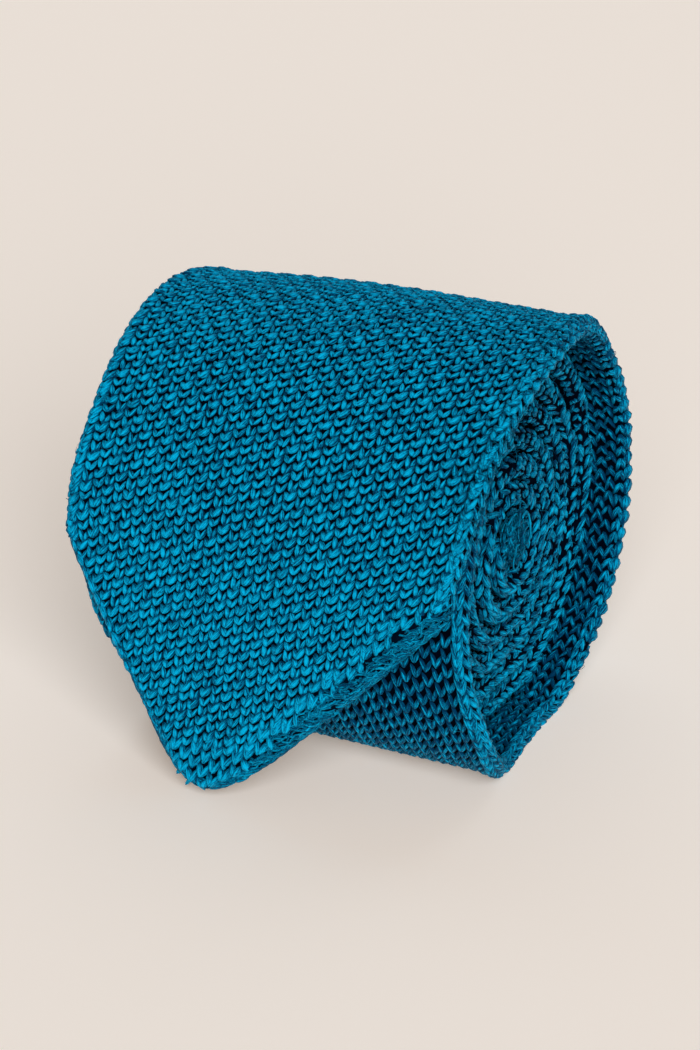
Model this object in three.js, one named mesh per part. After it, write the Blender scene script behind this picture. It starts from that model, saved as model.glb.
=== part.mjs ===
// A knitted tie, folded in half at the neck, rolled up from that fold and lying on its side.
// Millimetres, +Z up. X runs along the roll's axis and the blade's point hangs down the -Y side.
// The strip is followed from the point of the blade, over the top, down the back and round inwards
// to the fold, then outwards again, one layer further in, to the end of the tail.
import * as THREE from "three";

// Sizes of the tie laid flat
const TIE_LENGTH = 1450; // point of the blade to end of the tail
const BLADE_WIDTH = 65;
const NECK_WIDTH = 46;
const TAIL_WIDTH = 50;
const POINT_DEPTH = 33; // the blade's corners to its tip, along the strip
const POINT_LEAN = -4.3; // how far the tip lies to one side of the middle of the blade
const BLUNT_WIDTH = 7; // the tips are rounded off at this width
const TAIL_POINT_DEPTH = 25;
const TAIL_SPREAD = 0.4; // share of the tail half over which it widens from the neck

// Thicknesses
const KNIT_THICKNESS = 1.8; // the folded knit, two layers pressed flat
const EDGE_PUFF = 0.4; // how far the folded edges of the blade stand out from each face
const EDGE_ZONE = 3; // width of a folded edge
const EDGE_ROUND = 1; // how far in from the edge it is thickest
const FACING_THICKNESS = 1.3;
const FACING_WIDTH = 11;
const FACING_LIP = 1.4; // how far the turned hem shows past the blade's edge
const PIECE_GAP = 0.3;

// The roll
const LAYER_GAP = 0.2; // air between one layer and the next
const STAND_OFF = 1.5; // extra air under the outermost turn, which is loose
const LOOSE_FROM = 195; // degrees wound at which the loose turn starts to close in
const LOOSE_TO = 465; // and at which it lies on the turns below
const EYE_RADIUS = 2.4; // hollow at the middle of the roll
const TAIL_END = 390; // degrees wound at which the tail ends under the blade
const OVAL_SHARE = 0.043; // the roll is a leaning oval
const OVAL_ANGLE = 36;
const LOBE_SHARE = 0.025; // with three soft corners
const LOBE_ANGLE = 99;
const REST_DROP = 1.7; // how far the bottom is pressed in where the roll rests
const REST_HALF_ANGLE = 15; // half of the pressed arc
const END_DROOP = 2.4; // how far the loose turn's left end sinks where it passes over the top
const DROOP_AT = 90; // degrees wound at which it sinks most
const DROOP_SPAN = 90; // degrees either side over which it levels out
const DROOP_START = 8; // it starts this far right of the roll's middle

// Where the blade leaves the roll and where its tip hangs
const LEAVE_ANGLE = 165; // 0 is the back, 90 the top, 180 the front
const TIP_REACH = 42; // tip in front of the roll's axis
const TIP_CLEARANCE = 2.1; // tip above the surface
const TIP_SLANT = 17; // degrees between the tip and the vertical

// How finely the strip is cut into sections
const STEP = 15; // degrees from one section to the next
const COARSE_STEP = 30;
const COARSE_RADIUS = 16; // turns inside this radius take the coarse step
const POINT_ROWS = [0, 0.08, 0.27, 0.52, 0.76, 1]; // sections of the point, as shares of its depth
const FOLD_STEPS = [45, 90, 135]; // sections of the fold, in degrees of its half turn
const FACE_PLACES = [0.33, 0.67]; // points across each face, as shares between its folded edges
const FACING_ROWS = [0.94, 0.6, 0.3]; // sections of the hem, as shares of its way from tip to corner
const SEARCH_STEPS = 40; // halvings in the search for the roll's radius

// How far the blade half reaches to the left and right of the roll's middle: 0 is half the neck's
// width and 1 half the blade's, at shares of the half length. The first row is the blade's corners.
const BLADE_LIE = [
  { along: 0.0455, left: 0.98, right: 0.56 },
  { along: 0.053, left: 1.11, right: 0.77 },
  { along: 0.076, left: 1.09, right: 0.86 },
  { along: 0.1, left: 1.18, right: 0.99 },
  { along: 0.112, left: 1.22, right: 0.99 },
  { along: 0.137, left: 1.1, right: 0.63 },
  { along: 0.15, left: 1, right: 0.5 },
  { along: 0.254, left: 0.76, right: 0.5 },
  { along: 0.277, left: 0.58, right: 0.73 },
  { along: 0.288, left: 0.48, right: 0.99 },
  { along: 0.301, left: 0.46, right: 1.02 },
  { along: 0.312, left: 0.84, right: 0.87 },
  { along: 0.323, left: 1.01, right: 0.77 },
  { along: 0.36, left: 0.84, right: 0.6 },
  { along: 0.4, left: 0.78, right: 0.2 },
  { along: 0.455, left: 0.68, right: 0 },
  { along: 0.6, left: 0.5, right: 0 },
  { along: 0.8, left: 0.2, right: 0 },
  { along: 1, left: 0, right: 0 },
];

const TURN_PITCH = 2 * (KNIT_THICKNESS + LAYER_GAP);
const LAYER_PITCH = KNIT_THICKNESS + LAYER_GAP;

const rad = (degrees) => (degrees * Math.PI) / 180;
const clamp01 = (v) => Math.min(1, Math.max(0, v));
const mix = (a, b, share) => a + (b - a) * share;
const smooth = (v) => clamp01(v) * clamp01(v) * (3 - 2 * clamp01(v));

// The value of one column of a table at a place between its rows.
function tableAt(rows, column, along) {
  const next = rows.findIndex((row) => row.along >= along);
  if (next < 0) return rows[rows.length - 1][column];
  if (next === 0) return rows[0][column];
  const [a, b] = [rows[next - 1], rows[next]];
  return mix(a[column], b[column], (along - a.along) / (b.along - a.along));
}

// The roll's outline as a share of its mean radius.
function outlineShare(angle) {
  const oval = OVAL_SHARE * Math.cos(rad(2 * (angle - OVAL_ANGLE)));
  const lobes = LOBE_SHARE * Math.cos(rad(3 * (angle - LOBE_ANGLE)));
  return 1 + oval + lobes;
}

// How far a surface lies below the roll's outline, at a depth within its own turn.
function sunk(wound, depth) {
  const closing = smooth((wound - LOOSE_FROM) / (LOOSE_TO - LOOSE_FROM));
  return depth + (TURN_PITCH * wound) / 360 + STAND_OFF * closing;
}

// Radius of a surface, before it is pressed flat below. Inner turns are rounder.
function looseRadius(rollRadius, angle, below) {
  const mean = rollRadius - below;
  return mean * (1 + (mean / rollRadius) * (outlineShare(angle) - 1));
}

// Height of the axis above the surface that the roll rests on.
function axisHeight(rollRadius) {
  return looseRadius(rollRadius, -90, sunk(LEAVE_ANGLE + 90, 0)) - REST_DROP;
}

// A point of the roll: degrees wound inwards from where the blade leaves, and depth within the turn.
function rollPoint(rollRadius, wound, depth) {
  const angle = LEAVE_ANGLE - wound;
  let radius = looseRadius(rollRadius, angle, sunk(wound, depth));
  const fromBottom = ((((angle + 270) % 360) + 360) % 360) - 180;
  if (Math.abs(fromBottom) <= 2 * REST_HALF_ANGLE) {
    const below = sunk(wound + fromBottom, depth);
    const drop = (REST_DROP * (rollRadius - below)) / rollRadius;
    const floor = looseRadius(rollRadius, -90, below) - drop;
    radius = Math.min(radius, floor / Math.cos(rad(fromBottom)));
  }
  const height = axisHeight(rollRadius);
  return new THREE.Vector2(
    radius * Math.cos(rad(angle)),
    height + radius * Math.sin(rad(angle)),
  );
}

// The hanging blade as a curve in the YZ plane, from its tip up to where it meets the roll.
function hangingCurve(rollRadius) {
  const top = rollPoint(rollRadius, 0, KNIT_THICKNESS / 2);
  const before = rollPoint(rollRadius, 1, KNIT_THICKNESS / 2);
  const tip = new THREE.Vector2(-TIP_REACH, TIP_CLEARANCE);
  const third = top.distanceTo(tip) / 3;
  const downward = top.clone().sub(before).normalize();
  const upward = new THREE.Vector2(Math.sin(rad(TIP_SLANT)), Math.cos(rad(TIP_SLANT)));
  return new THREE.CubicBezierCurve(
    tip,
    tip.clone().addScaledVector(upward, third),
    top.clone().addScaledVector(downward, third),
    top,
  );
}

// Left and right edges of the strip at a length from the blade's tip.
function stripEdges(along) {
  const half = along / (TIE_LENGTH / 2);
  const tailSide = mix(NECK_WIDTH, TAIL_WIDTH, clamp01((half - 1) / TAIL_SPREAD)) / 2;
  const side = (column) =>
    half < 1 ? mix(NECK_WIDTH, BLADE_WIDTH, tableAt(BLADE_LIE, column, half)) / 2 : tailSide;
  const [left, right] = [-side("left"), side("right")];
  const point = clamp01(along / POINT_DEPTH);
  const tail = clamp01((TIE_LENGTH - along) / TAIL_POINT_DEPTH);
  const reach = Math.min(point, tail);
  const blunt = (left + right) / 2 + (half < 1 ? POINT_LEAN : 0);
  return {
    left: mix(blunt - BLUNT_WIDTH / 2, left, reach),
    right: mix(blunt + BLUNT_WIDTH / 2, right, reach),
  };
}

// The folded edges puff up only where the strip is wider than the tail that lies on it.
function edgePuff(along, edges) {
  if (along > TIE_LENGTH / 2) return 0;
  const past = (edges.right - edges.left) / 2 - TAIL_WIDTH / 2 - EDGE_ZONE;
  const offPoint = clamp01((along - POINT_DEPTH) / EDGE_ZONE);
  return EDGE_PUFF * clamp01(past) * offPoint;
}

// Sections of the strip in order, each with the place of its first and second face.
function stripSections(rollRadius) {
  const sections = [];
  let along = 0;
  const add = (first, second, droop = 0) => {
    const middle = first.clone().add(second).multiplyScalar(0.5);
    const last = sections[sections.length - 1];
    if (last) along += middle.distanceTo(last.middle);
    sections.push({ first, second, middle, along, droop });
  };

  const hanging = hangingCurve(rollRadius);
  const hangingLength = hanging.getLength();
  const rows = POINT_ROWS.map((share) => share * POINT_DEPTH);
  rows.push((POINT_DEPTH + hangingLength) / 2);
  for (const row of rows) {
    const share = row / hangingLength;
    const at = hanging.getPointAt(share);
    const up = hanging.getTangentAt(share);
    const out = new THREE.Vector2(-up.y, up.x).multiplyScalar(KNIT_THICKNESS / 2);
    add(at.clone().add(out), at.clone().sub(out));
  }

  const inner = KNIT_THICKNESS + LAYER_PITCH;
  const spare = rollRadius - STAND_OFF - inner - EYE_RADIUS;
  const foldAt = (360 * spare) / TURN_PITCH;
  const turns = [];
  for (let wound = 0; wound < foldAt - STEP / 2; ) {
    turns.push(wound);
    const coarse = rollRadius - sunk(wound, 0) < COARSE_RADIUS;
    wound += coarse && (wound / STEP) % 2 === 0 ? COARSE_STEP : STEP;
  }
  turns.push(foldAt);
  for (const wound of turns) {
    const droop = END_DROOP * (1 - smooth(Math.abs(wound - DROOP_AT) / DROOP_SPAN));
    add(rollPoint(rollRadius, wound, 0), rollPoint(rollRadius, wound, KNIT_THICKNESS), droop);
  }

  // The fold: both faces go round the middle of the gap between the two layers.
  const between = KNIT_THICKNESS + LAYER_GAP / 2;
  const foldRadius = EYE_RADIUS + between;
  const aroundFold = (turn, radius) => {
    const ahead = (radius * Math.sin(rad(turn))) / foldRadius;
    const depth = between - radius * Math.cos(rad(turn));
    return rollPoint(rollRadius, foldAt + (ahead * 180) / Math.PI, depth);
  };
  for (const turn of FOLD_STEPS) {
    add(aroundFold(turn, between), aroundFold(turn, LAYER_GAP / 2));
  }

  for (const wound of turns.filter((angle) => angle >= TAIL_END).reverse()) {
    add(rollPoint(rollRadius, wound, inner), rollPoint(rollRadius, wound, LAYER_PITCH));
  }
  return sections;
}

// The roll's mean radius at which the whole strip has its length.
function solveRollRadius() {
  let [low, high] = [EYE_RADIUS + STAND_OFF + 2 * TURN_PITCH, TIE_LENGTH / (2 * Math.PI)];
  for (let i = 0; i < SEARCH_STEPS; i++) {
    const middle = (low + high) / 2;
    const sections = stripSections(middle);
    if (sections[sections.length - 1].along > TIE_LENGTH) high = middle;
    else low = middle;
  }
  return low;
}

// One closed body through rings of points with the same number of points, capped at both ends.
function loft(rings, capOutline) {
  const count = rings[0].length;
  const index = [];
  for (let ring = 0; ring < rings.length - 1; ring++) {
    for (let i = 0; i < count; i++) {
      const [a, b] = [ring * count + i, ring * count + ((i + 1) % count)];
      index.push(a, a + count, b, b, a + count, b + count);
    }
  }
  const cap = THREE.ShapeUtils.triangulateShape(capOutline, []);
  const last = (rings.length - 1) * count;
  for (const [a, b, c] of cap) {
    index.push(a, b, c);
    index.push(last + a, last + c, last + b);
  }
  const geometry = new THREE.BufferGeometry();
  geometry.setAttribute("position", new THREE.Float32BufferAttribute(rings.flat(2), 3));
  geometry.setIndex(index);
  geometry.computeVertexNormals();
  return geometry;
}

// A point of a section: x across the strip, and share from the second face (-0.5) to the first (0.5).
// Nothing reaches below the surface that the tie lies on.
function sectionPoint(section, x, share) {
  const through = section.first.clone().sub(section.second);
  const at = section.middle.clone().addScaledVector(through, share);
  const left = clamp01((DROOP_START - x) / (DROOP_START + BLADE_WIDTH / 2));
  at.addScaledVector(through.normalize(), -section.droop * left * left);
  return [x, at.x, Math.max(0, at.y)];
}

// Outline of the strip's section as x and share of thickness, right edge first.
function sectionOutline(edges, puff) {
  const zone = Math.min(EDGE_ZONE, (edges.right - edges.left) / 3);
  const round = (zone * EDGE_ROUND) / EDGE_ZONE;
  const thick = 0.5 + puff / KNIT_THICKNESS;
  const [from, to] = [edges.right - zone, edges.left + zone];
  const side = (face) => [
    [edges.right - round, face * thick],
    [from, face * 0.5],
    ...FACE_PLACES.map((place) => [mix(from, to, place), face * 0.5]),
    [to, face * 0.5],
    [edges.left + round, face * thick],
  ];
  return [[edges.right, 0], ...side(1), [edges.left, 0], ...side(-1).reverse()];
}

function knitStrip(rollRadius) {
  const rings = [];
  let capOutline;
  for (const section of stripSections(rollRadius)) {
    const edges = stripEdges(section.along);
    const outline = sectionOutline(edges, edgePuff(section.along, edges));
    capOutline ??= outline.map(([x, share]) => new THREE.Vector2(x, share * KNIT_THICKNESS));
    rings.push(outline.map(([x, share]) => sectionPoint(section, x, share)));
  }
  return loft(rings, capOutline);
}

// The turned hem behind the point: a ribbon that follows both slanting edges and mitres at the tip.
function pointFacing(rollRadius) {
  const hanging = hangingCurve(rollRadius);
  const hangingLength = hanging.getLength();
  const onBlade = (x, along, depth) => {
    const share = clamp01(along / hangingLength);
    const at = hanging.getPointAt(share);
    const up = hanging.getTangentAt(share);
    at.addScaledVector(up, Math.min(0, along));
    at.addScaledVector(new THREE.Vector2(up.y, -up.x), KNIT_THICKNESS / 2 + depth);
    return [x, at.x, at.y];
  };
  const near = PIECE_GAP;
  const far = PIECE_GAP + FACING_THICKNESS;
  const shoulder = FACING_THICKNESS / 2 - FACING_LIP;
  const outline = [
    [-FACING_LIP, (near + far) / 2],
    [shoulder, near],
    [FACING_WIDTH, near],
    [FACING_WIDTH, far],
    [shoulder, far],
  ];
  const tip = stripEdges(0);
  const corner = stripEdges(POINT_DEPTH);
  const rings = [];
  const addLeg = (tipX, cornerX, places) => {
    const leg = new THREE.Vector2(cornerX - tipX, POINT_DEPTH);
    const inward = new THREE.Vector2(leg.y, -leg.x).normalize();
    if (inward.y < 0) inward.negate();
    for (const place of places) {
      const ring = outline.map(([reach, depth]) => {
        const at = leg.clone().multiplyScalar(place).addScaledVector(inward, reach);
        return onBlade(tipX + at.x, at.y, depth);
      });
      rings.push(ring);
    }
  };
  addLeg(tip.left, corner.left, FACING_ROWS);
  const halfWidth = (corner.right - corner.left) / 2;
  const mitre = Math.hypot(halfWidth, POINT_DEPTH) / halfWidth;
  const middle = (tip.left + tip.right) / 2;
  rings.push(
    outline.map(([reach, depth]) => onBlade(middle, reach > 0 ? reach * mitre : reach, depth)),
  );
  addLeg(tip.right, corner.right, FACING_ROWS.toReversed());
  return loft(rings, outline.map(([reach, depth]) => new THREE.Vector2(reach, depth)));
}

const knit = new THREE.MeshStandardMaterial({ color: 0x045d7f, roughness: 0.6, metalness: 0 });
const hem = new THREE.MeshStandardMaterial({ color: 0x044a66, roughness: 0.7, metalness: 0 });

function named(name, geometry, material) {
  const mesh = new THREE.Mesh(geometry, material);
  mesh.name = name;
  return mesh;
}

const rollRadius = solveRollRadius();
const tie = new THREE.Group();
tie.add(named("knit_strip", knitStrip(rollRadius), knit));
tie.add(named("point_facing", pointFacing(rollRadius), hem));

export default tie;
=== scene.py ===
"""A knitted tie, rolled up and lying on its side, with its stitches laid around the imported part.

Arrays hold millimetres in the part's frame: +Z up, X along the roll's axis, the point hanging on the
-Y side. Meshes are written in metres. The tie is a knitted tube pressed flat: a place on it is a
length from the tip, a number of wales round the tube from its right fold, and a height above it.
"""

import math

import bpy
import numpy as np
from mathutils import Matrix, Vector


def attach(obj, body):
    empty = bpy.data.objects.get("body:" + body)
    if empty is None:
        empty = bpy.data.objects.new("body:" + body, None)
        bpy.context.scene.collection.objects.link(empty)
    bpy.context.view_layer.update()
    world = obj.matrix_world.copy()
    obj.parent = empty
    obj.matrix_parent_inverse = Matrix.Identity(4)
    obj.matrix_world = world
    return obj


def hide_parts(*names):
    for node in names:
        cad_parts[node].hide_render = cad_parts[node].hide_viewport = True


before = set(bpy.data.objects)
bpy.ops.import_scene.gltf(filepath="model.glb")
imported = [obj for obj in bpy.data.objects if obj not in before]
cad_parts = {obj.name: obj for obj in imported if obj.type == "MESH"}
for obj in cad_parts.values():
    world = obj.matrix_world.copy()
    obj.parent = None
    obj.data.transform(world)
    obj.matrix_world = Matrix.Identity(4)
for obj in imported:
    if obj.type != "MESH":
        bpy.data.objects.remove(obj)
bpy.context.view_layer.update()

MM = 0.001
rng = np.random.default_rng(7)

# The tie and its roll, as in the part
TIE_LENGTH = 1450.0
BLADE_WIDTH = 65.0
NECK_WIDTH = 46.0
TAIL_WIDTH = 50.0
POINT_DEPTH = 33.0
POINT_LEAN = -4.3
BLUNT_WIDTH = 7.0
TAIL_POINT_DEPTH = 25.0
TAIL_SPREAD = 0.4
KNIT_THICKNESS = 1.8
EDGE_PUFF = 0.4
EDGE_ZONE = 3.0
LAYER_GAP = 0.2
STAND_OFF = 1.5
LOOSE_FROM = 195.0
LOOSE_TO = 465.0
EYE_RADIUS = 2.4
TAIL_END = 390.0
OVAL_SHARE = 0.043
OVAL_ANGLE = 36.0
LOBE_SHARE = 0.025
LOBE_ANGLE = 99.0
REST_DROP = 1.7
REST_HALF_ANGLE = 15.0
END_DROOP = 2.4
DROOP_AT = 90.0
DROOP_SPAN = 90.0
DROOP_START = 8.0
LEAVE_ANGLE = 165.0
TIP_REACH = 42.0
TIP_CLEARANCE = 2.1
TIP_SLANT = 17.0
ROLL_RADIUS = 35.665
LAYER_PITCH = KNIT_THICKNESS + LAYER_GAP
TURN_PITCH = 2 * LAYER_PITCH
EDGE_BLUR = np.linspace(-0.006, 0.006, 5)  # shares of the half length that the edges are averaged over

# How far the blade half reaches left and right: 0 for the neck's half width and 1 for the blade's
BLADE_LIE = np.array([
    # share of the half length, left, right
    (0.0455, 0.98, 0.56),
    (0.053, 1.11, 0.77),
    (0.076, 1.09, 0.86),
    (0.1, 1.18, 0.99),
    (0.112, 1.22, 0.99),
    (0.137, 1.1, 0.63),
    (0.15, 1.0, 0.5),
    (0.254, 0.76, 0.5),
    (0.277, 0.58, 0.73),
    (0.288, 0.48, 0.99),
    (0.301, 0.46, 1.02),
    (0.312, 0.84, 0.87),
    (0.323, 1.01, 0.77),
    (0.36, 0.84, 0.6),
    (0.4, 0.78, 0.2),
    (0.455, 0.68, 0.0),
    (0.6, 0.5, 0.0),
    (0.8, 0.2, 0.0),
    (1.0, 0.0, 0.0),
])

# The knit
WALES_ROUND = 72  # wales round the whole tube
REPEAT = 4.35  # length of one repeat of the stitch along a wale
CROWN = 0.3  # how far the stitches stand above the part's surface
KNIT_SUNK = 0.35  # how far below their tops the middles of the legs lie
BED = 0.45  # how far the dark ground lies below it
FOLD_BED = 0.15  # the same at the folded edges and between the turns
FOLD_CROWDING = 0.85  # how much closer together the ground's points lie at the folds
TIP_ROUND = 5.0  # length over which the blunt tip's two corners are rounded off
TIP_INSET = 1.9  # how much of its width the tip loses there on each side
CUT_BED = 0.75  # the same along the point's cut edges
CUT_ROUND = 1.3  # how the stitches round off over the point's cut edges
CUT_REACH = 1.9  # how far past that radius they are still sunk, as a share of it
CUT_FALL = 1.5  # how steeply they sink past it
CUT_SLANT = 44.0  # angle of the cut edges to a line across the tie
FAR_INSIDE = 9.0  # distance to a cut edge that stands for anywhere off the point
WALE_LEAN = 0.6  # share of the point's lean that its wales follow
RIM_SWELL = 1.0  # how far the blade's rims inside the roll swell over the tail between them
RIM_FROM = (370.0, 450.0)  # degrees wound over which they swell up
RIM_REPEAT = 2.1  # length of one repeat of the stitch along the rims
HEM_HALF = 2.0  # half the thickness of the hem's fold at the right corner
HEM_MIDDLE = -1.0  # height of its middle, between the blade and the facing behind it
HEM_BULGE = 2.3  # how far it stands out
HEM_AT_TIP = 0.4  # share of its size that is left at the tip
HEM_GROWS = 17.0  # distance from the tip over which it grows
HEM_LESS_LEFT = 0.35  # share by which it is smaller on the left side
HEM_LESS_AT_ENDS = 0.6  # share by which it gets thinner where it runs past the point's corners
HEM_INSET = 1.1  # how far in from the cut edge its middle lies
HEM_CREASE = 0.15  # how far from it the stitches end at its right corner
HEM_WIDTH = BLADE_WIDTH / 2  # distance across the tie from the tip to the right corner
HEM_STEP = 0.6  # spacing of the points along it
HEM_ROWS = 80  # points of the cut edge on each side that it is worked out from
HEM_RUN_UP = 3.0  # how far past the point's corners it runs
HEM_BED_SUNK = 0.2  # how far its bed lies below its strands
STRAND_FROM = -100.0  # angle round the hem's fold from which its strands lie, 90 at its front edge
STRAND_TO = (112.0, 88.0)  # angle up to which they lie, at the tip and at the right corner
STRAND_TURNS = (11.0, 8.0)  # distance to the right from which that changes, and over which
TAIL_RECESS = 5.0  # how much further in than in the part the tail's edges lie, under those rims
RECESS_SPAN = 25.0  # length over which they get there


# The tie's course


def smooth(v):
    v = np.clip(v, 0, 1)
    return v * v * (3 - 2 * v)


def outline_share(angle):
    oval = OVAL_SHARE * np.cos(np.radians(2 * (angle - OVAL_ANGLE)))
    lobes = LOBE_SHARE * np.cos(np.radians(3 * (angle - LOBE_ANGLE)))
    return 1 + oval + lobes


def sunk(wound, depth):
    closing = smooth((wound - LOOSE_FROM) / (LOOSE_TO - LOOSE_FROM))
    return depth + TURN_PITCH * wound / 360 + STAND_OFF * closing


def loose_radius(angle, below):
    mean = ROLL_RADIUS - below
    return mean * (1 + mean / ROLL_RADIUS * (outline_share(angle) - 1))


HANGING_POINTS = 80  # points of the course along the hanging blade
TURN_STEP = 3  # degrees from one point to the next in the roll
FOLD_STEP = 15  # the same round the fold at the neck
AXIS_HEIGHT = loose_radius(-90.0, sunk(LEAVE_ANGLE + 90, 0.0)) - REST_DROP


def roll_point(wound, depth):
    """Y and Z of a point of the roll: degrees wound inwards from where the blade leaves, and depth."""
    wound = np.asarray(wound, float)
    angle = LEAVE_ANGLE - wound
    radius = loose_radius(angle, sunk(wound, depth))
    from_bottom = (angle + 270) % 360 - 180
    below = sunk(wound + from_bottom, depth)
    floor = loose_radius(-90.0, below) - REST_DROP * (ROLL_RADIUS - below) / ROLL_RADIUS
    pressed = floor / np.cos(np.radians(np.clip(from_bottom, -60, 60)))
    near = np.abs(from_bottom) <= 2 * REST_HALF_ANGLE
    radius = np.where(near, np.minimum(radius, pressed), radius)
    turn = np.radians(angle)
    return np.stack([radius * np.cos(turn), AXIS_HEIGHT + radius * np.sin(turn)], -1)


def hanging_points(count):
    """Middle of the hanging blade from its tip up to the roll, and its tangents."""
    top = roll_point(0.0, KNIT_THICKNESS / 2)
    before = roll_point(1.0, KNIT_THICKNESS / 2)
    tip = np.array([-TIP_REACH, TIP_CLEARANCE])
    third = np.linalg.norm(top - tip) / 3
    downward = (top - before) / np.linalg.norm(top - before)
    slant = math.radians(TIP_SLANT)
    a, d = tip, top
    b = tip + third * np.array([math.sin(slant), math.cos(slant)])
    c = top + third * downward
    t = np.linspace(0, 1, count)[:, None]
    at = a * (1 - t) ** 3 + 3 * b * t * (1 - t) ** 2 + 3 * c * t**2 * (1 - t) + d * t**3
    up = 3 * ((b - a) * (1 - t) ** 2 + 2 * (c - b) * t * (1 - t) + (d - c) * t**2)
    return at, up / np.linalg.norm(up, axis=1)[:, None]


def tie_course():
    """The tie's middle line as rows of length, Y, Z, normal Y, normal Z, droop and degrees wound."""
    at, up = hanging_points(HANGING_POINTS)
    out = np.stack([-up[:, 1], up[:, 0]], -1) * KNIT_THICKNESS / 2
    first, second = [at + out], [at - out]
    wounds = [np.full(len(at), -1.0)]

    inner = KNIT_THICKNESS + LAYER_PITCH
    fold_at = 360 * (ROLL_RADIUS - STAND_OFF - inner - EYE_RADIUS) / TURN_PITCH
    turns = np.linspace(0, fold_at, int(fold_at / TURN_STEP))
    first.append(roll_point(turns[1:], 0.0))
    second.append(roll_point(turns[1:], KNIT_THICKNESS))
    wounds.append(turns[1:])

    between = KNIT_THICKNESS + LAYER_GAP / 2
    fold_turns = np.radians(np.arange(FOLD_STEP, 180, FOLD_STEP))
    for radius, side in ((between, first), (LAYER_GAP / 2, second)):
        ahead = radius * np.sin(fold_turns) / (EYE_RADIUS + between)
        side.append(roll_point(fold_at + np.degrees(ahead), between - radius * np.cos(fold_turns)))
    wounds.append(np.full(len(fold_turns), fold_at))

    back = turns[turns >= TAIL_END][::-1]
    first.append(roll_point(back, inner))
    second.append(roll_point(back, LAYER_PITCH))
    wounds.append(back)

    first, second = np.concatenate(first), np.concatenate(second)
    wounds = np.concatenate(wounds)
    middle = (first + second) / 2
    steps = np.linalg.norm(np.diff(middle, axis=0), axis=1)
    along = np.concatenate([[0], np.cumsum(steps)])
    normal = (first - second) / np.linalg.norm(first - second, axis=1)[:, None]
    droop = END_DROOP * (1 - smooth(np.abs(wounds - DROOP_AT) / DROOP_SPAN)) * (wounds >= 0)
    droop *= np.arange(len(along)) < len(at) + len(turns)
    return np.column_stack([along, middle, normal, droop, wounds])


COURSE = tie_course()
LENGTH = COURSE[-1, 0]
FOLD_ALONG = COURSE[np.argmax(COURSE[:, 6]), 0]


def length_at(wound):
    """Length from the tip to where the blade half has wound so many degrees."""
    rows = COURSE[: np.argmax(COURSE[:, 6]) + 1]
    return float(np.interp(wound, rows[:, 6], rows[:, 0]))


def side_edges(along):
    """Left and right edges of the strip with its point not yet cut, smoothed."""
    half = np.asarray(along, float) / (TIE_LENGTH / 2)
    tail = NECK_WIDTH + (TAIL_WIDTH - NECK_WIDTH) * np.clip((half - 1) / TAIL_SPREAD, 0, 1)
    sides = []
    for column in (1, 2):
        full = np.mean(
            [np.interp(half + step, BLADE_LIE[:, 0], BLADE_LIE[:, column]) for step in EDGE_BLUR],
            axis=0,
        )
        blade = NECK_WIDTH + (BLADE_WIDTH - NECK_WIDTH) * full
        sides.append(np.where(half < 1, blade, tail) / 2)
    recess = TAIL_RECESS * smooth((along - FOLD_ALONG) / RECESS_SPAN)
    sides = [side - recess for side in sides]
    lean = WALE_LEAN * POINT_LEAN * np.clip(1 - along / POINT_DEPTH, 0, None)
    return lean - sides[0], lean + sides[1]


def cut_edges(along):
    """Left and right edges of the strip with its points cut."""
    along = np.asarray(along, float)
    left, right = side_edges(along)
    reach = np.minimum(
        np.clip(along / POINT_DEPTH, 0, 1), np.clip((LENGTH - along) / TAIL_POINT_DEPTH, 0, 1)
    )
    corner_left, corner_right = side_edges(POINT_DEPTH)
    left = np.where(along < POINT_DEPTH, corner_left, left)
    right = np.where(along < POINT_DEPTH, corner_right, right)
    blunt = (left + right) / 2 + np.where(along < LENGTH / 2, POINT_LEAN, 0)
    rounded = TIP_INSET * np.clip(1 - along / TIP_ROUND, 0, 1) ** 2
    return (
        (blunt - BLUNT_WIDTH / 2) * (1 - reach) + left * reach + rounded,
        (blunt + BLUNT_WIDTH / 2) * (1 - reach) + right * reach - rounded,
    )


def edge_puff(along, left, right):
    """The folded edges puff up only where the strip is wider than the tail that lies on it."""
    half_width = (right - left) / 2
    off_point = np.clip((along - POINT_DEPTH) / EDGE_ZONE, 0, 1)
    puff = EDGE_PUFF * np.clip(half_width - TAIL_WIDTH / 2 - EDGE_ZONE, 0, 1) * off_point
    wound = np.interp(along, COURSE[:, 0], COURSE[:, 6])
    swell = RIM_SWELL * smooth((wound - RIM_FROM[0]) / (RIM_FROM[1] - RIM_FROM[0]))
    return np.maximum(puff, swell * smooth((FOLD_ALONG - along) / RECESS_SPAN))


def tube(along, around, lift, edges=side_edges):
    """Points of the pressed tube, with around in millimetres from the right fold's middle."""
    along, around, lift = np.broadcast_arrays(along, around, lift)
    left, right = edges(along)
    puff = edge_puff(along, left, right)
    radius = KNIT_THICKNESS / 2 + puff
    quarter = math.pi * radius / 2
    flat = right - left - 2 * radius
    whole = 2 * (2 * quarter + flat)
    around = (around + whole / 2) % whole - whole / 2
    side = np.where(around < 0, -1.0, 1.0)
    reach = np.abs(around)
    over_left = reach > quarter + flat / 2
    near = np.where(over_left, 2 * quarter + flat - reach, reach)
    turn = np.clip(near / radius, 0, math.pi / 2)
    run = np.clip(near - quarter, 0, None)
    inward = np.where(near < quarter, radius * (1 - np.cos(turn)), radius + run)
    settled = KNIT_THICKNESS / 2 + puff * (1 - smooth(run / EDGE_ZONE))
    height = np.where(near < quarter, radius * np.sin(turn), settled)
    x = np.where(over_left, left + inward, right - inward)
    x = x + lift * np.cos(turn) * np.where(over_left, -1, 1)
    height = (height + lift * np.sin(turn)) * side
    points = on_course(along, x, height)
    points[..., 2] = np.maximum(points[..., 2], 0)
    return points


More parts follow.
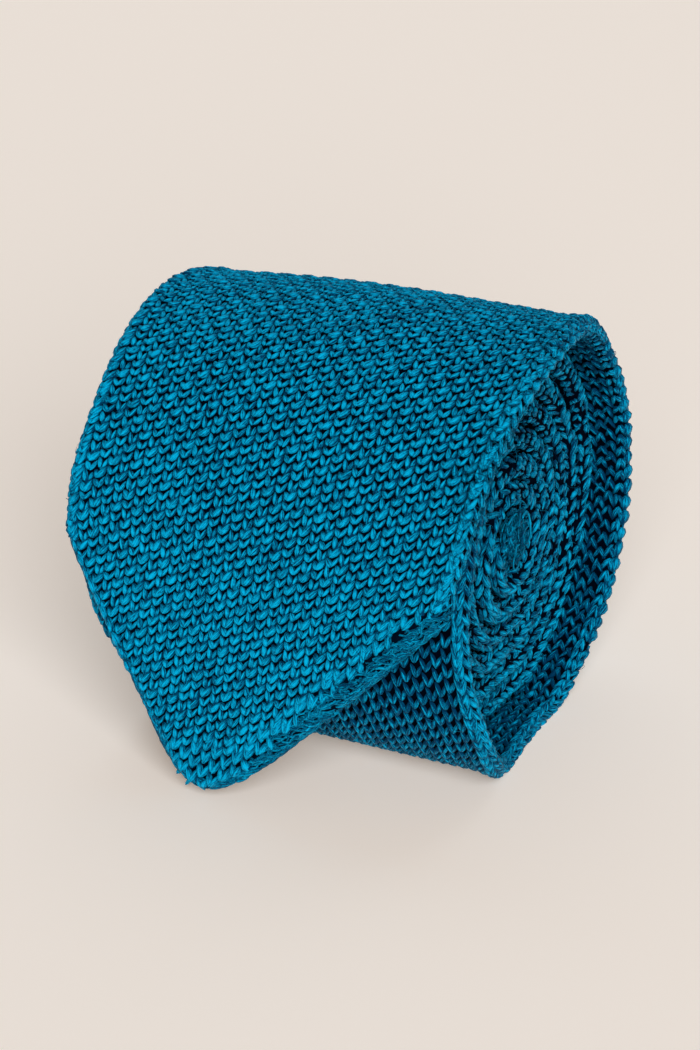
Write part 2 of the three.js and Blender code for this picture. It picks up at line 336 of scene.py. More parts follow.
def tube_length(along, edges=side_edges):
    """Length round the pressed tube."""
    left, right = edges(along)
    radius = KNIT_THICKNESS / 2 + edge_puff(along, left, right)
    return 2 * (math.pi * radius + right - left - 2 * radius)


def on_course(along, x, height):
    """Points at x across the tie and at a height above its middle, with the loose turn's droop."""
    at = np.stack([np.interp(along, COURSE[:, 0], COURSE[:, i]) for i in range(1, 6)], -1)
    normal = at[..., 2:4] / np.linalg.norm(at[..., 2:4], axis=-1, keepdims=True)
    left = np.clip((DROOP_START - x) / (DROOP_START + BLADE_WIDTH / 2), 0, 1)
    height = height - at[..., 4] * left * left
    yz = at[..., :2] + normal * height[..., None]
    # A length below 0 or past the end runs on straight
    beyond = np.minimum(along, 0)[..., None]
    yz = yz + beyond * np.stack([normal[..., 1], -normal[..., 0]], -1)
    return np.concatenate([x[..., None], yz], -1)


# Meshes from arrays


def write_mesh(name, points, faces, attributes=(), maps=()):
    """A smooth-shaded object from points in millimetres, equal-sided faces, and values per point."""
    mesh = bpy.data.meshes.new(name)
    count, sides = faces.shape
    mesh.vertices.add(len(points))
    mesh.vertices.foreach_set("co", (points * MM).astype(np.float32).ravel())
    mesh.loops.add(count * sides)
    mesh.loops.foreach_set("vertex_index", faces.astype(np.int32).ravel())
    mesh.polygons.add(count)
    mesh.polygons.foreach_set("loop_start", np.arange(0, count * sides, sides, dtype=np.int32))
    mesh.polygons.foreach_set("use_smooth", np.ones(count, bool))
    mesh.update(calc_edges=True)
    for title, values in attributes:
        layer = mesh.attributes.new(title, "FLOAT", "POINT")
        layer.data.foreach_set("value", values.astype(np.float32))
    for title, places in maps:
        layer = mesh.uv_layers.new(name=title)
        layer.data.foreach_set("uv", places[faces.ravel()].astype(np.float32).ravel())
    mesh.validate()
    made = bpy.data.objects.new(name, mesh)
    bpy.context.scene.collection.objects.link(made)
    return made


# The stitches

# Each leg of a stitch: its offset from the wale's middle and its place along the repeat as shares, its
# tilt in degrees, its length and width, the height of its middle and how much its upper end dips
PIQUE = np.array([
    # wale, repeat, tilt, length, width, height, dip
    (-0.22, 0.03, -40, 1.50, 0.86, 0.05, 0.12),
    (0.27, -0.02, 27, 1.85, 0.62, 0.02, 0.12),
    (-0.25, 0.34, -14, 1.75, 0.78, 0.00, 0.05),
    (0.225, 0.34, 14, 1.40, 0.56, -0.06, 0.05),
    (-0.32, 0.71, -44, 1.60, 0.90, 0.04, 0.34),
    (0.18, 0.66, 31, 2.10, 1.00, 0.10, 0.24),
    (0.02, 0.47, 0, 1.90, 1.70, -0.66, 0.10),
    (0.50, 0.22, 0, 1.90, 1.30, -0.70, 0.10),
])
OPEN_PIQUE = np.array([
    (-0.27, 0.25, -27, 2.05, 0.70, 0.05, 0.30),
    (0.27, 0.25, 27, 2.05, 0.70, 0.05, 0.30),
])
OPEN_REPEAT = 2.25  # its repeat
INNER = np.array([
    (-0.26, 0.25, -30, 2.60, 0.80, 0.00, 0.20),
    (0.26, 0.25, 30, 2.60, 0.80, 0.00, 0.20),
])
PLAIN = np.array([
    (-0.26, 0.25, -25, 2.50, 1.02, 0.02, 0.34),
    (0.26, 0.25, 25, 2.50, 1.02, 0.02, 0.34),
])
PLAIN_REPEAT = 2.17  # its repeat
PLAIN_TIP = 7.0  # length from the tip over which the stitches are plain
PLAIN_EDGE = 3.4  # width of the strip of plain stitches along the hem
RIM = np.array([
    (-0.30, 0.25, -22, 2.75, 0.90, 0.05, 0.40),
    (0.30, 0.25, 22, 2.75, 0.90, 0.05, 0.40),
])
KNOTS = np.array([
    (0.06, 0.25, 8, 2.60, 2.00, 0.02, 0.12),
    (-0.52, 0.60, -34, 1.90, 0.90, -0.05, 0.10),
])
KNOT_REPEAT = 2.5  # its repeat
EDGE_KNOT_IN = 0.5  # how far in from the left cut edge a column of them runs
KNOTS_AT = (50, 215)  # degrees wound between which the right rim is knotted
RIM_SPACING = 1.25  # wales between the columns of the rims
# How much painted shade darkens the rims along the roll
RIM_SHADES = np.array([
    # degrees wound, shade
    (50, 0.06),
    (75, 0.26),
    (300, 0.26),
    (335, 0.08),
    (365, 0.5),
    (425, 0.4),
    (455, 0.1),
    (620, 0.1),
    (655, 0.55),
    (745, 0.5),
    (790, 0.12),
    (1000, 0.12),
    (1015, 0.3),
    (1100, 0.3),
    (1130, 0.14),
])
LEG_RINGS = np.array([-0.8, -0.3, 0.3, 0.8])
LEG_SIDES = np.radians(np.linspace(-115, 115, 6))
LEG_FALL = 0.62  # how round the legs are on top: height as a share of width
LEG_TAPER = 0.2  # how much thinner than its middle a leg's upper end is
LEG_SUNK = 0.35  # how far a leg's middle lies below its given height, as a share of its roundness
LEG_BLUNT = (2.2, 0.65)  # powers that shape a leg's outline towards its ends
DIP_SHADE = (0.15, 0.9)  # painted shade on a leg's upper end, where it dips under its neighbour: how much darker, plainly and for each mm of dip
LOW_SHADE = 1.05  # painted shade: how much darker a leg is for each mm that it lies low
MAP_SHIFT = 40  # range over which each leg's place on the yarn's texture varies
TILT_VARIES = 5.0  # how much the legs vary: their tilt in degrees
SIZE_VARIES = 0.08  # their length and width, as a share
HEIGHT_VARIES = 0.04  # their height in mm
ALONG_VARIES = 0.06  # their place along in mm
WALE_VARIES = 0.03  # their place across, as a share of a wale


def lattice(rows, wales, start, stop, repeat=REPEAT, spacing=1.0, loose=1.0):
    """Legs of the stitch in these wales between two lengths: wale, length, and the table's columns."""
    wales = np.asarray(wales)
    repeats = np.arange(math.floor(start / repeat) - 1, math.ceil(stop / repeat) + 1)
    wale, turn, row = np.meshgrid(wales, repeats, np.arange(len(rows)), indexing="ij")
    wale, turn, row = wale.ravel(), turn.ravel(), row.ravel()
    leg = rows[row].copy()
    shift = 0.5 * (wale % 2)
    along = (turn + shift - leg[:, 1]) * repeat
    keep = (along > start) & (along < stop)
    wale, along, leg = wale[keep], along[keep], leg[keep]
    count = len(wale)
    leg[:, 2] += rng.normal(0, TILT_VARIES * loose, count)
    leg[:, 3:5] *= rng.normal(1, SIZE_VARIES * loose, (count, 2))
    leg[:, 5] += rng.normal(0, HEIGHT_VARIES * loose, count)
    place = wale * spacing - leg[:, 0] + rng.normal(0, WALE_VARIES * loose, count)
    along = along + rng.normal(0, ALONG_VARIES * loose, count)
    return np.column_stack([place, along, leg[:, 2:]])


def leg_points(legs):
    """Points of each leg's shell: wales round, mm aside, length, height, yarn map, and a level of
    painted shade.
    """
    place, along, tilt, length, width, height, dip = (legs[:, i, None] for i in range(7))
    ring = np.repeat(LEG_RINGS, len(LEG_SIDES))
    side = np.tile(LEG_SIDES, len(LEG_RINGS))
    t = np.concatenate([[-1.0], ring, [1.0]])[None]
    turn = np.concatenate([[0.0], side, [0.0]])[None]
    full = (1 - np.abs(ring) ** LEG_BLUNT[0]) ** LEG_BLUNT[1] * (1 - LEG_TAPER * ring)
    fat = np.concatenate([[0.0], full, [0.0]])[None]
    run = t * length / 2
    across = fat * width / 2 * np.sin(turn)
    lift = fat * width * LEG_FALL * (np.cos(turn) - LEG_SUNK)
    cos, sin = np.cos(np.radians(tilt)), np.sin(np.radians(tilt))
    # t = 1 is the end towards the neck; a positive tilt leans that end towards +X on the first face
    ahead = run * cos - across * sin
    sideways = -(run * sin + across * cos)
    rise = height + lift - dip * t
    yarn = np.stack([
        turn * width / 2 + rng.uniform(0, MAP_SHIFT, (len(legs), 1)),
        run + rng.uniform(0, MAP_SHIFT, (len(legs), 1)),
    ], -1)
    # Painted shade: darker down each leg's flanks, at its upper end where it dips, and where the leg
    # lies low
    high = (0.5 + 0.5 * np.cos(turn)) * (0.55 + 0.45 * fat)
    high = high - (DIP_SHADE[0] + DIP_SHADE[1] * dip) * np.clip(t, 0, 1)
    high = high + LOW_SHADE * np.clip(height, -1, 0)
    return place, sideways, along + ahead, rise, yarn, np.broadcast_to(high, rise.shape)


def leg_faces(count):
    """Quads and end triangles of one shell, as triangles, for so many legs."""
    wide, rings = len(LEG_SIDES), len(LEG_RINGS)
    made = []
    for i in range(wide - 1):
        made.append((0, 1 + i + 1, 1 + i))
        for r in range(rings - 1):
            a = 1 + r * wide + i
            made.append((a, a + 1, a + wide + 1))
            made.append((a, a + wide + 1, a + wide))
        a = 1 + (rings - 1) * wide + i
        made.append((a, a + 1, 1 + rings * wide))
    one = np.array(made)
    points = 2 + wide * rings
    return (one[None] + points * np.arange(count)[:, None, None]).reshape(-1, 3)


def edge_distances(along, around):
    """How far inside the point's left and right cut edges a place lies, along the blade's face."""
    along = np.asarray(along, float)
    left, right = cut_edges(np.clip(along, 0, None))
    quarter = math.pi * KNIT_THICKNESS / 4
    x = side_edges(along)[1] - KNIT_THICKNESS / 2 - (np.abs(around) - quarter)
    slant = math.cos(math.radians(CUT_SLANT))
    on_point = along < POINT_DEPTH
    return (
        np.where(on_point, (x - left) * slant, FAR_INSIDE),
        np.where(on_point, (right - x) * slant, FAR_INSIDE),
    )


def edge_distance(along, around):
    """How far inside the point's cut edges a place lies."""
    left, right = edge_distances(along, around)
    to_tip = np.where(np.asarray(along) < POINT_DEPTH, along, FAR_INSIDE)
    return np.minimum(np.minimum(left, right), to_tip)


def sunk_at_cut(along, around):
    """The point's cut edges are rounded off: how far the stitches sink there."""
    inside = np.clip(CUT_ROUND - edge_distance(along, around), 0, CUT_REACH * CUT_ROUND)
    near = np.clip(inside, 0, CUT_ROUND)
    return CUT_ROUND - np.sqrt(CUT_ROUND**2 - near**2) + CUT_FALL * (inside - near)


def banded(along, around, middle, margin=3.0):
    """A flat layout in bands side by side, each leg or fibre in the band that its middle lies in."""
    low, high = middle.min(), middle.max() + 0.01
    width = np.ptp(around) + 1.0
    bands = max(1, round(math.sqrt((high - low) / width)))
    each = (high - low) / bands
    band = np.floor((middle - low) / each)
    u = (band + (around - around.min() + 0.5) / width) / bands
    v = (along - low - band * each + margin) / (each + 2 * margin)
    return np.stack([u, v], -1)


def knit_piece(name, legs, crown=CROWN, fits=lambda along, place: True, shade=lambda along: 0.0):
    """One joined mesh of legs on the pressed tube; shade, by length along, paints them darker as shade.
    """
    keep = np.broadcast_to(fits(legs[:, 1], legs[:, 0]), len(legs))
    legs = legs[keep]
    place, sideways, along, rise, yarn, high = leg_points(legs)
    pitch = tube_length(along) / WALES_ROUND
    around = place * pitch + sideways
    points = tube(along, around, rise + crown - KNIT_SUNK - sunk_at_cut(along, around))
    flat_map = banded(along, around, legs[:, 1, None])
    tone = np.broadcast_to(rng.uniform(0, 1, (len(legs), 1)), rise.shape)
    # The crown attribute carries each point's level of painted shade into the yarn's colour
    return write_mesh(
        name,
        points.reshape(-1, 3),
        leg_faces(len(legs)),
        attributes=[("crown", (high - shade(along)).ravel()), ("tone", tone.ravel())],
        maps=[("OFBake", flat_map.reshape(-1, 2)), ("yarn", yarn.reshape(-1, 2))],
    )


def ground_mesh(name, spacing=3.0, places=40):
    """The ground under the stitches, painted dark as shade: the tube itself, a little smaller, with its
    points cut.
    """
    count = int(LENGTH / spacing)
    along = np.linspace(0, LENGTH, count)[:, None]
    share = (np.arange(places) + 0.5)[None] / places
    share = share - FOLD_CROWDING * np.sin(4 * np.pi * share) / (4 * np.pi)
    whole = tube_length(along, cut_edges)
    around = share * whole
    reach = np.minimum(np.minimum(around, whole - around), np.abs(around - whole / 2))
    wound = np.interp(along, COURSE[:, 0], COURSE[:, 6])
    hidden = smooth((wound - RIM_FROM[0]) / (RIM_FROM[1] - RIM_FROM[0]))
    flat_lift = -BED + (BED - FOLD_BED) * hidden
    fold_lift = np.where(along < POINT_DEPTH, -CUT_BED, -FOLD_BED)
    lift = flat_lift + (fold_lift - flat_lift) * np.clip(1 - (reach - 1) / 2, 0, 1)
    points = tube(along, around, lift, edges=cut_edges)
    a = np.arange(count - 1)[:, None] * places + np.arange(places)[None]
    b = np.arange(count - 1)[:, None] * places + (np.arange(places) + 1)[None] % places
    quads = np.stack([a, b, b + places, a + places], -1).reshape(-1, 4)
    flat_map = np.stack(np.broadcast_arrays(share * 0.5, along / LENGTH), -1).reshape(-1, 2)
    return write_mesh(name, points.reshape(-1, 3), quads, maps=[("OFBake", flat_map)])


# The hem


def hem_path():
    """The cut edge of the point, from its right corner round the tip to its left one, evenly spaced."""
    up = np.linspace(POINT_DEPTH + HEM_RUN_UP, 0, HEM_ROWS)
    left, right = cut_edges(up)
    corners = np.concatenate([np.stack([right, up], 1), np.stack([left, up], 1)[::-1]])
    for _ in range(4):
        run = np.concatenate([[0], np.cumsum(np.linalg.norm(np.diff(corners, axis=0), axis=1))])
        even = np.linspace(0, run[-1], int(run[-1] / HEM_STEP))
        corners = np.stack([np.interp(even, run, corners[:, i]) for i in (0, 1)], 1)
        softer = np.stack([np.convolve(corners[:, i], np.ones(7) / 7, "same") for i in (0, 1)], 1)
        corners[3:-3] = softer[3:-3]
    ahead = np.gradient(corners, axis=0)
    ahead /= np.linalg.norm(ahead, axis=1)[:, None]
    outward = np.stack([-ahead[:, 1], ahead[:, 0]], 1)
    middle = np.array([POINT_LEAN, POINT_DEPTH])
    if np.sum(outward * (corners - middle)) < 0:
        outward = -outward
    return corners, outward


def hem_full(along):
    """The hem's share of its full size, by the length from the tip, on its right side."""
    return HEM_AT_TIP + (1 - HEM_AT_TIP) * smooth(along / POINT_DEPTH * HEM_WIDTH / HEM_GROWS)


def hem_surface(corners, outward, angle, lift):
    """Points on the rounded fold of the hem: angle 90 degrees is its front edge, -90 its back edge."""
    full = HEM_AT_TIP + (1 - HEM_AT_TIP) * smooth((corners[:, 0] - POINT_LEAN) / HEM_GROWS)
    full = full * (1 - HEM_LESS_LEFT * smooth((POINT_LEAN - corners[:, 0]) / HEM_GROWS))
    full = full * (1 - HEM_LESS_AT_ENDS * smooth((corners[:, 1] - POINT_DEPTH) / HEM_RUN_UP))
    reach = np.cos(angle) * (HEM_BULGE * full + lift) - HEM_INSET * full
    height = HEM_MIDDLE * full + np.sin(angle) * (HEM_HALF * full + lift)
    place = corners + outward * reach[:, None]
    points = on_course(place[:, 1], place[:, 0], height)
    points[..., 2] = np.maximum(points[..., 2], 0)
    return points


ANY_WAY = [0.31, 0.42, 0.85]  # a direction that no strand follows, to turn their cross-sections by
CELL_MARGIN = 0.05  # share of a strand's cell of the bake map that is left free on each side


def tubes(name, lines, radii, sides=4, crown=0.55):
    """One joined mesh of thin round strands along lines with equally many points."""
    lines = np.asarray(lines)
    radii = np.broadcast_to(np.asarray(radii, float).reshape(len(lines), -1), lines.shape[:2])
    ahead = np.gradient(lines, axis=1)
    ahead /= np.linalg.norm(ahead, axis=2, keepdims=True) + 1e-9
    across = np.cross(ahead, ANY_WAY)
    across /= np.linalg.norm(across, axis=2, keepdims=True) + 1e-9
    other = np.cross(ahead, across)
    turn = 2 * np.pi * np.arange(sides) / sides
    ring = across[:, :, None] * np.cos(turn)[:, None] + other[:, :, None] * np.sin(turn)[:, None]
    points = lines[:, :, None] + ring * radii[:, :, None, None]
    points[..., 2] = np.maximum(points[..., 2], 0)
    count, length = lines.shape[:2]
    line, row, side = np.meshgrid(
        np.arange(count), np.arange(length - 1), np.arange(sides), indexing="ij"
    )
    a = (line * length + row) * sides + side
    b = (line * length + row) * sides + (side + 1) % sides
    quads = np.stack([a, b, b + sides, a + sides], -1).reshape(-1, 4)
    number = np.arange(count)[:, None, None]
    yarn = np.stack(np.broadcast_arrays(
        turn[None, None] * 0.3 + number * 1.7,
        np.arange(length)[None, :, None] * HEM_STEP + number * 3.1,
    ), -1)
    # Each strand has its own cell of a square grid, its two sides laid on each other
    cells = math.ceil(math.sqrt(count))
    used = 1 - 2 * CELL_MARGIN
    column, row = np.arange(count) % cells, np.arange(count) // cells
    around, run = np.abs(1 - turn[None, None] / np.pi), np.linspace(0, 1, length)[None, :, None]
    flat_map = np.stack(np.broadcast_arrays(
        (column[:, None, None] + CELL_MARGIN + used * around) / cells,
        (row[:, None, None] + CELL_MARGIN + used * run) / cells,
    ), -1)
    tone = np.broadcast_to(rng.uniform(0, 1, (count, 1, 1)), points.shape[:3])
    crown = np.broadcast_to(np.reshape(crown, (-1, 1, 1)), points.shape[:3])
    return write_mesh(
        name,
        points.reshape(-1, 3),
        quads,
        attributes=[("crown", crown.ravel()), ("tone", tone.ravel())],
        maps=[("OFBake", flat_map.reshape(-1, 2)), ("yarn", yarn.reshape(-1, 2))],
    )


def hem_strands(count=1450, points=6):
    """Short fluffy strands that lie over the fold of the hem and slant across it."""
    corners, outward = hem_path()
    numbers = np.arange(len(corners))
    lines = []
    for _ in range(count):
        length = rng.uniform(1.4, 3.2) / HEM_STEP
        slant = rng.normal(0.35, 0.35)
        first = rng.uniform(0, len(corners) - 1 - length)
        share = np.linspace(0, 1, points)
        at = first + length * math.cos(slant) * share
        place = np.stack([np.interp(at, numbers, corners[:, i]) for i in (0, 1)], 1)
        away = np.stack([np.interp(at, numbers, outward[:, i]) for i in (0, 1)], 1)
        turn = length * HEM_STEP * math.sin(slant) / HEM_HALF
        shift = smooth((place[0, 0] - STRAND_TURNS[0]) / STRAND_TURNS[1])
        inner = STRAND_TO[0] - (STRAND_TO[0] - STRAND_TO[1]) * shift
        angle = math.radians(rng.uniform(STRAND_FROM, inner)) + turn * (share - 0.5)
        angle = angle + rng.uniform(0.05, 0.15) * np.sin(share * rng.uniform(4, 9) + rng.uniform(0, 7))
        lift = rng.uniform(-0.15, 0.12) - 0.3 * (2 * share - 1) ** 4
        lines.append(hem_surface(place, away, angle, lift))
    return np.array(lines)


def hem_bed(name, places=14):
    """The round bed under the hem's strands, painted dark as the shade beneath them."""
    corners, outward = hem_path()
    angles = np.linspace(0, 2 * np.pi, places, endpoint=False)
    count = len(corners)
    rings = [hem_surface(corners, outward, np.full(count, t), -HEM_BED_SUNK) for t in angles]
    rings = np.stack(rings, 1)
    a = np.arange(count - 1)[:, None] * places + np.arange(places)[None]
    b = np.arange(count - 1)[:, None] * places + (np.arange(places) + 1)[None] % places
    quads = np.stack([a, b, b + places, a + places], -1).reshape(-1, 4)
    around, run = np.meshgrid(np.arange(places) / places, np.arange(count) / count)
    flat_map = np.stack([around, run], -1).reshape(-1, 2)
    return write_mesh(name, rings.reshape(-1, 3), quads, maps=[("OFBake", flat_map)])


# Loose fibres

LAST_TURN = 330  # degrees wound that make up the innermost turn
TANGLE = np.array([1.4, 3.6, 4.4])  # half the extent of the tangle of yarn ends at the eye
TANGLE_SHIFT = np.array([0.2, -1.9, 1.2])  # where its middle lies from the innermost turn's middle


def fibre_lines(count, along, around, length, curl, lift, points=7):
    """Fine fibres that curl over the tube: ranges of place, length in mm, turn in radians and height."""
    share = np.linspace(0, 1, points)[None]
    along = rng.uniform(*along, (count, 1))
    around = rng.uniform(*around, (count, 1))
    length = rng.uniform(*length, (count, 1))
    heading = rng.uniform(0, 2 * np.pi, (count, 1)) + rng.uniform(-curl, curl, (count, 1)) * share
    step = length / (points - 1)
    ahead = np.cumsum(np.cos(heading) * step, axis=1)
    aside = np.cumsum(np.sin(heading) * step, axis=1)
    height = 0.15 + rng.uniform(*lift, (count, 1)) * np.sin(np.pi * share) ** 0.7
    along, around = along + ahead, around + aside
    keep = np.all(edge_distance(along, around) > 0.5, axis=1)
    return tube(along, around, height)[keep]


def eye_tangle(count, points=12):
    """Loose ends of yarn that curl up in front of the roll's eye."""
    innermost = COURSE[:, 6] > COURSE[:, 6].max() - LAST_TURN
    eye = (COURSE[innermost, 1:3].max(axis=0) + COURSE[innermost, 1:3].min(axis=0)) / 2
    start = rng.normal(0, 1, (count, 3))
    start *= rng.uniform(0.2, 1, (count, 1)) / np.linalg.norm(start, axis=1)[:, None]
    heading = rng.uniform(0, 2 * np.pi, (count, 1)) + np.cumsum(
        rng.normal(0, 0.3, (count, points)) + rng.uniform(-0.75, 0.75, (count, 1)), axis=1)
    rise = np.cumsum(rng.normal(0, 0.12, (count, points)), axis=1)
    step = np.stack([rise, np.cos(heading), np.sin(heading)], -1) * rng.uniform(0.1, 0.24, (count, 1, 1))
    place = start[:, None] + np.cumsum(step, axis=1)
    out = np.linalg.norm(place, axis=2, keepdims=True)
    place = place / np.maximum(out / rng.uniform(0.55, 1.3, (count, 1, 1)) ** 1.2, 1)
    middle = np.array([side_edges(FOLD_ALONG)[1], *eye]) + TANGLE_SHIFT
    return middle + place * TANGLE


# Materials


def node(tree, kind, **sockets):
    made = tree.nodes.new(kind)
    for title, value in sockets.items():
        made.inputs[title.replace("_", " ")].default_value = value
    return made


def yarn_material(name, deep, bright, strength=1.0):
    """Silky knitting yarn: fine filaments along each leg, with painted shade that deepens the colour low
    down between the legs.
    """
    material = bpy.data.materials.new(name)
    material.use_nodes = True
    tree = material.node_tree
    shader = tree.nodes["Principled BSDF"]
    shader.inputs["Specular IOR Level"].default_value = 0.12
    shader.inputs["Specular Tint"].default_value = (0.05, 0.6, 0.8, 1)
    shader.inputs["Sheen Weight"].default_value = 0.1
    shader.inputs["Sheen Roughness"].default_value = 0.5
    shader.inputs["Sheen Tint"].default_value = (0.0, 0.6, 0.9, 1)
    link = tree.links.new

    yarn = tree.nodes.new("ShaderNodeUVMap")
    yarn.uv_map = "yarn"
    stretch = tree.nodes.new("ShaderNodeMapping")
    stretch.inputs["Scale"].default_value = (4.6, 0.55, 1.0)
    link(yarn.outputs["UV"], stretch.inputs["Vector"])
    fibres = node(tree, "ShaderNodeTexNoise", Scale=1.0, Detail=3.0, Roughness=0.6)
    link(stretch.outputs["Vector"], fibres.inputs["Vector"])

    # crown: the level of painted shade at each point of a leg
    crown = tree.nodes.new("ShaderNodeAttribute")
    crown.attribute_name = "crown"
    tone = tree.nodes.new("ShaderNodeAttribute")
    tone.attribute_name = "tone"

    place = tree.nodes.new("ShaderNodeTexCoord")
    cloudy = node(tree, "ShaderNodeTexNoise", Scale=60.0, Detail=2.0)
    link(place.outputs["Object"], cloudy.inputs["Vector"])

    ramp = tree.nodes.new("ShaderNodeValToRGB")
    ramp.color_ramp.elements[0].position = 0.25
    ramp.color_ramp.elements[0].color = (*deep, 1)
    ramp.color_ramp.elements[1].position = 1.0
    ramp.color_ramp.elements[1].color = (*bright, 1)

    def scaled(socket, by, add):
        step = tree.nodes.new("ShaderNodeMath")
        step.operation = "MULTIPLY_ADD"
        link(socket, step.inputs[0])
        step.inputs[1].default_value = by
        step.inputs[2].default_value = add
        return step.outputs[0]

    def total(*sockets):
        found = sockets[0]
        for socket in sockets[1:]:
            step = tree.nodes.new("ShaderNodeMath")
            step.operation = "ADD"
            link(found, step.inputs[0])
            link(socket, step.inputs[1])
            found = step.outputs[0]
        return found

    grain = node(tree, "ShaderNodeTexNoise", Scale=3200.0, Detail=3.0, Roughness=0.7)
    link(place.outputs["Object"], grain.inputs["Vector"])
    level = total(
        scaled(grain.outputs["Fac"], 0.9, -0.45),
        scaled(crown.outputs["Fac"], 0.85, 0.0),
        scaled(tone.outputs["Fac"], 0.25, -0.1),
        scaled(fibres.outputs["Fac"], 3.0, -1.5),
        scaled(cloudy.outputs["Fac"], 0.14, -0.07),
    )
    link(level, ramp.inputs["Fac"])
    link(ramp.outputs["Color"], shader.inputs["Base Color"])
    link(scaled(fibres.outputs["Fac"], 0.35, 0.4), shader.inputs["Roughness"])

    bump = node(tree, "ShaderNodeBump", Strength=0.9 * strength, Distance=0.0002)
    link(fibres.outputs["Fac"], bump.inputs["Height"])
    link(bump.outputs["Normal"], shader.inputs["Normal"])
    return material


def ground_material(name, colour):
    material = bpy.data.materials.new(name)
    material.use_nodes = True
    tree = material.node_tree
    shader = tree.nodes["Principled BSDF"]
    shader.inputs["Roughness"].default_value = 0.9
    shader.inputs["Specular IOR Level"].default_value = 0.02
    place = tree.nodes.new("ShaderNodeTexCoord")
    loops = node(tree, "ShaderNodeTexNoise", Scale=700.0, Detail=2.0)
    tree.links.new(place.outputs["Object"], loops.inputs["Vector"])
    ramp = tree.nodes.new("ShaderNodeValToRGB")
    ramp.color_ramp.elements[0].color = (*[c * 0.5 for c in colour], 1)
    ramp.color_ramp.elements[1].color = (*[c * 1.8 for c in colour], 1)
    tree.links.new(loops.outputs["Fac"], ramp.inputs["Fac"])
    tree.links.new(ramp.outputs["Color"], shader.inputs["Base Color"])
    bump = node(tree, "ShaderNodeBump", Strength=0.6, Distance=0.0003)
    tree.links.new(loops.outputs["Fac"], bump.inputs["Height"])
    tree.links.new(bump.outputs["Normal"], shader.inputs["Normal"])
    return material


# The pieces

# deep is the colour that the painted shade and the darker fibres reach; bright is the yarn on the crowns
YARN = yarn_material("teal_yarn", deep=(0.0002, 0.030, 0.085), bright=(0.0006, 0.395, 0.67))
# The ground's near-black colour is painted shade between the stitches
GROUND = ground_material("shaded_ground", (0.0001, 0.0014, 0.0055))

ground = ground_mesh("tie_ground")
ground.data.materials.append(GROUND)

half_round = WALES_ROUND // 2
face_wales = np.arange(1, half_round)


def is_plain(along, around):
    """True near the tip and in the strip of plain stitches along the hem."""
    return (edge_distances(along, around)[1] < PLAIN_EDGE) | (along < PLAIN_TIP)


PAST_LEFT = -0.8  # how far past the left cut edge a leg's middle may lie
OVERLAP = (0.8, 0.9)  # how far the other stitches run in among the plain ones, along and round


def plain_edge(along, place):
    """True where a leg lies on the point among its plain stitches."""
    around = place * tube_length(along) / WALES_ROUND
    left, right = edge_distances(along, around)
    crease = 0.1 + HEM_CREASE * smooth((along - POINT_DEPTH / 2) / 12)
    fits = (left > PAST_LEFT) & (right > HEM_INSET * hem_full(along) + crease) & (along > 0.3)
    return fits & is_plain(along, around)


def rim_fits(along, place):
    """True where a leg of a rim lies inside the point's slanting edges."""
    return edge_distance(along, place * tube_length(along) / WALES_ROUND) > -0.1


def past_edge(along, place):
    """True where a leg lies anywhere else on the blade."""
    around = place * tube_length(along) / WALES_ROUND
    left, right = edge_distances(along, around)
    return (left > PAST_LEFT) & (right > 0) & ~is_plain(along + OVERLAP[0], around + OVERLAP[1])


def under_shade(along):
    """Painted shade on the stitches under the roll."""
    return 0.4 * smooth((along - length_at(215)) / 6)


def rim_shade(along):
    """Painted shade on the rims on the roll's far side, in the clefts beside its loose turn and inside
    it.
    """
    wound = np.interp(along, COURSE[:, 0], COURSE[:, 6])
    return np.interp(wound, RIM_SHADES[:, 0], RIM_SHADES[:, 1])


stops = [0.0, length_at(20), length_at(120), length_at(220), length_at(375)]
tables = [PIQUE, PIQUE, PIQUE, OPEN_PIQUE]
repeats = [REPEAT, REPEAT, REPEAT, OPEN_REPEAT]
stitches = []
for number, (start, stop, rows, repeat) in enumerate(zip(stops[:-1], stops[1:], tables, repeats)):
    legs = lattice(rows, face_wales, start, stop, repeat, loose=0.6)
    stitches.append(knit_piece(f"face_knit_{number + 1}", legs, fits=past_edge, shade=under_shade))
edging = lattice(PLAIN, np.arange(0, half_round + 1), -1, POINT_DEPTH, PLAIN_REPEAT)
stitches.append(knit_piece("edge_knit", edging, fits=plain_edge))

# The left rim runs on down the point's edge as a column of knots and ends in a thick one
knots_along = np.arange(POINT_DEPTH + 2, POINT_DEPTH * 0.46, -1.75)
left_edge, right_edge = cut_edges(knots_along)
slope = np.degrees(np.arctan(np.gradient(left_edge, knots_along)))
around = side_edges(knots_along)[1] - left_edge - EDGE_KNOT_IN
around = around + (math.pi / 4 - 0.5) * KNIT_THICKNESS
edge_knots = np.column_stack([
    around * WALES_ROUND / tube_length(knots_along),
    knots_along,
    slope + rng.normal(0, 9, len(slope)),
    np.full(len(slope), 2.3) * rng.normal(1, 0.1, len(slope)),
    np.linspace(1.1, 1.7, len(slope)) * rng.normal(1, 0.1, len(slope)),
    np.linspace(0.1, 0.75, len(slope)),
    np.full(len(slope), 0.15),
])
stitches.append(knit_piece("edge_knots", edge_knots))

